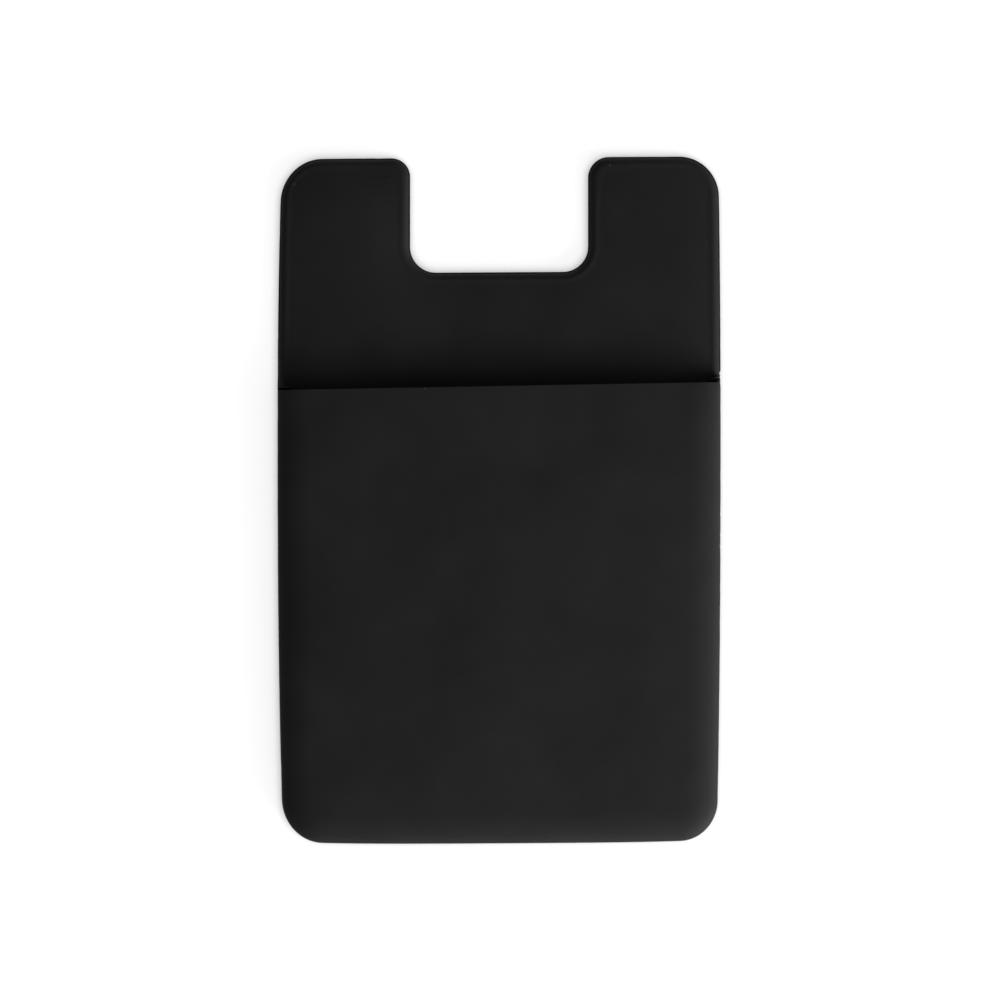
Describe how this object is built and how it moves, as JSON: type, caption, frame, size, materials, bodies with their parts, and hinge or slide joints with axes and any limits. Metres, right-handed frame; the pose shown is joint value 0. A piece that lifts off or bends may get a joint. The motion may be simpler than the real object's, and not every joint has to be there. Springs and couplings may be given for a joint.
{
  "type": "stick-on phone card holder",
  "caption": "Moulded silicone card pocket with a thumb notch at its open end and an adhesive back, made to stick on a phone.",
  "frame": {"origin": "under the middle of the outline, on the release liner's outer face, which the holder lies on", "axes": "+X to the right across the front, +Y towards the notched end, +Z out of the front panel"},
  "size_m": [0.0562, 0.0872, 0.0037],
  "materials": {
    "silicone": "matte",
    "adhesive": "satin",
    "release_paper": "satin"
  },
  "bodies": {
    "root": {"silicone_pocket": "silicone", "adhesive_pad": "adhesive", "release_liner": "release_paper"}
  },
  "joints": []
}
